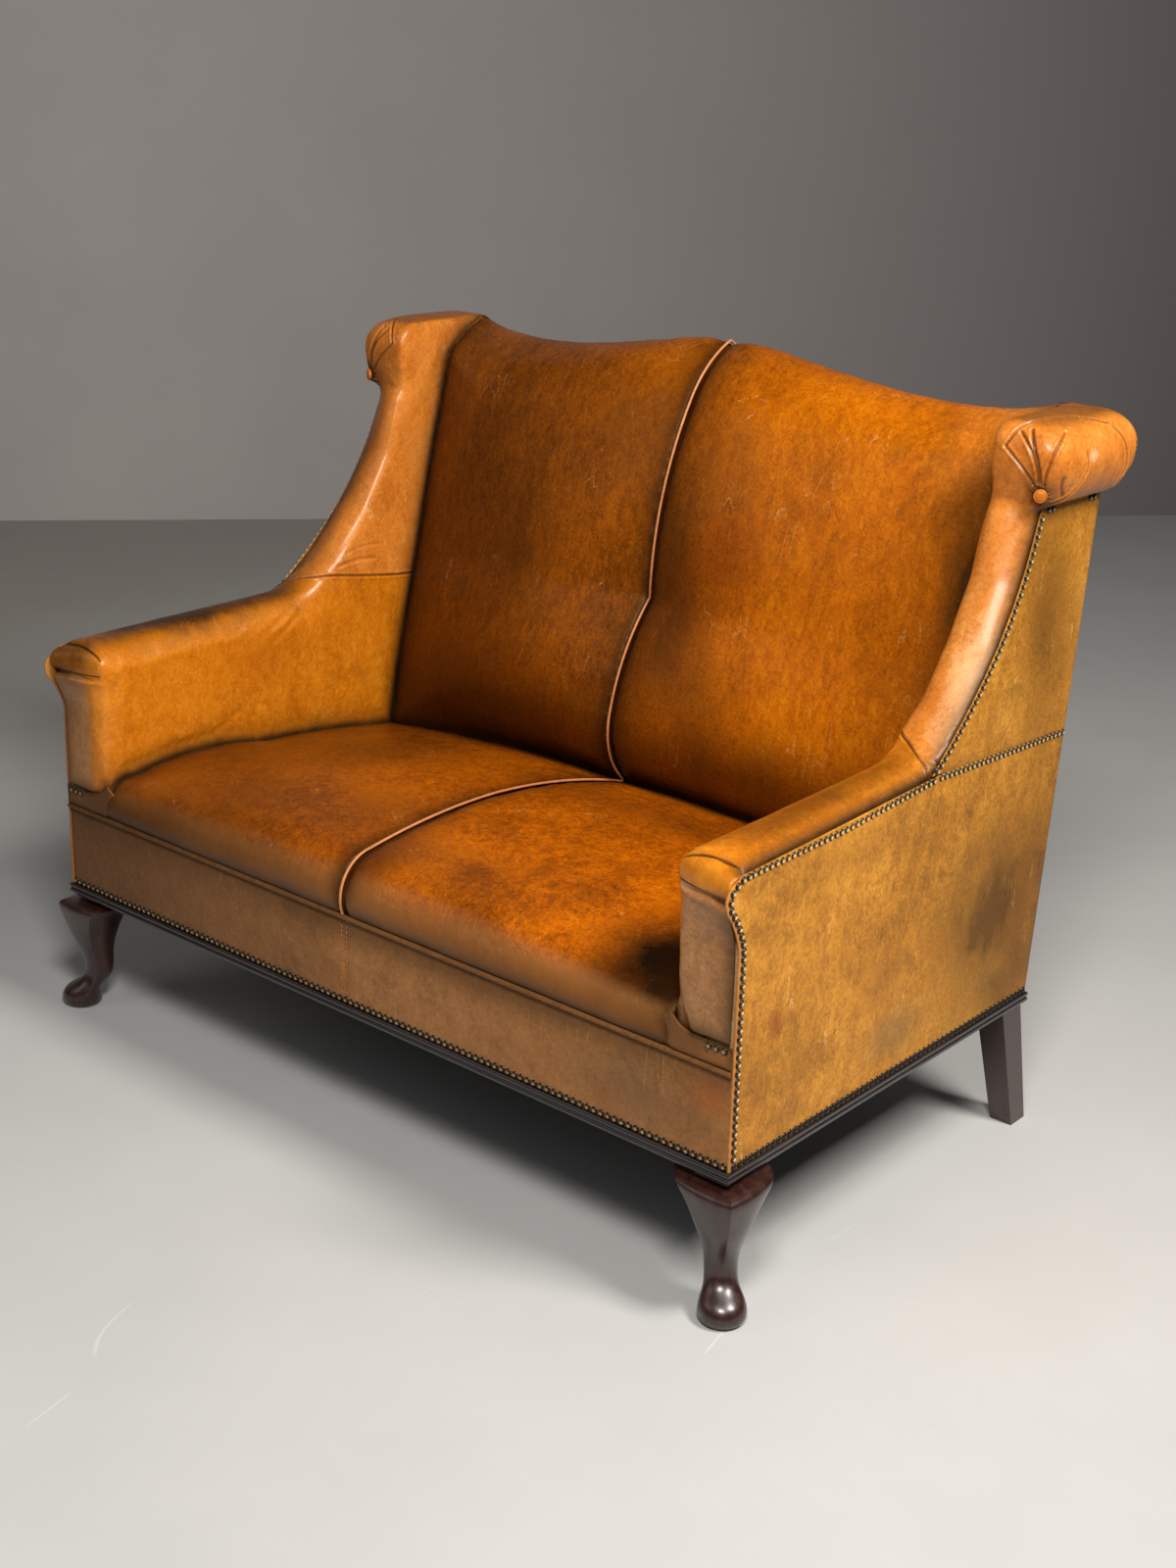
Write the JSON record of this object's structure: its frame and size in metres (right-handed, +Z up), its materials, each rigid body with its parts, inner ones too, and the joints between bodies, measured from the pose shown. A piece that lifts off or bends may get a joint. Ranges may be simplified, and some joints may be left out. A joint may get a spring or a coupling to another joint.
{
  "type": "sofa bench",
  "caption": "Leather wing settee with a humped high back, low arms, fixed seat, nailed edges and cabriole front legs, for two people to sit on.",
  "frame": {"origin": "centre of the bounding box at floor level", "axes": "+X across the width, to the right of someone who looks at the front; +Y towards the back; +Z up"},
  "size_m": [1.3742, 0.9001, 1.0684],
  "materials": {
    "leather_tan": "hand-dyed tan leather, mottled, waxed, semi-gloss",
    "leather_ochre": "lighter ochre leather with streaks and scuffs, satin",
    "leather_piping": "pinkish-tan leather piping, satin",
    "dark_wood": "dark mahogany, polished",
    "frame_wood": "plain planed beech",
    "antique_brass": "dark antique patina with bright high spots",
    "spring_steel": "coated spring wire",
    "jute": "woven jute webbing",
    "canvas": "plain woven canvas",
    "stuffing": "curled hair and wadding under the cover"
  },
  "bodies": {
    "root": {"arm_front_panel_left": "leather_tan", "arm_front_panel_right": "leather_tan", "arm_nails": "antique_brass", "arm_nose_left": "leather_tan", "arm_nose_right": "leather_tan", "arm_post_left": "frame_wood", "arm_post_right": "frame_wood", "arm_rail_left": "frame_wood", "arm_rail_right": "frame_wood", "arm_tack_rails": "frame_wood", "back_canvas": "canvas", "back_cover_left": "leather_tan", "back_cover_right": "leather_tan", "back_nails": "antique_brass", "back_piping": "leather_piping", "back_stile": "frame_wood", "back_stuffing": "stuffing", "back_tack_rail": "frame_wood", "back_top_rail": "frame_wood", "back_webbing": "jute", "base_moulding": "dark_wood", "base_nails": "antique_brass", "bottom_cloth": "canvas", "corner_blocks": "frame_wood", "front_border": "leather_tan", "front_leg_left": "dark_wood", "front_leg_right": "dark_wood", "front_seat_rail": "frame_wood", "front_welt": "leather_tan", "inside_arm_left": "leather_tan", "inside_arm_right": "leather_tan", "inside_wing_left": "leather_tan", "inside_wing_right": "leather_tan", "middle_nails": "antique_brass", "outside_arm_left": "leather_ochre", "outside_arm_right": "leather_ochre", "outside_back": "leather_ochre", "outside_wing_left": "leather_ochre", "outside_wing_right": "leather_ochre", "panel_nails": "antique_brass", "rear_post_left": "dark_wood", "rear_post_right": "dark_wood", "rear_seat_rail": "frame_wood", "scroll_buttons": "leather_tan", "scroll_left": "leather_tan", "scroll_right": "leather_tan", "seat_brace": "frame_wood", "seat_canvas": "canvas", "seat_cover_left": "leather_tan", "seat_cover_right": "leather_tan", "seat_piping": "leather_piping", "seat_springs": "spring_steel", "seat_stuffing": "stuffing", "seat_webbing": "jute", "side_seat_rail_left": "frame_wood", "side_seat_rail_right": "frame_wood", "wing_frame_left": "frame_wood", "wing_frame_right": "frame_wood", "wing_nails": "antique_brass"}
  },
  "joints": []
}
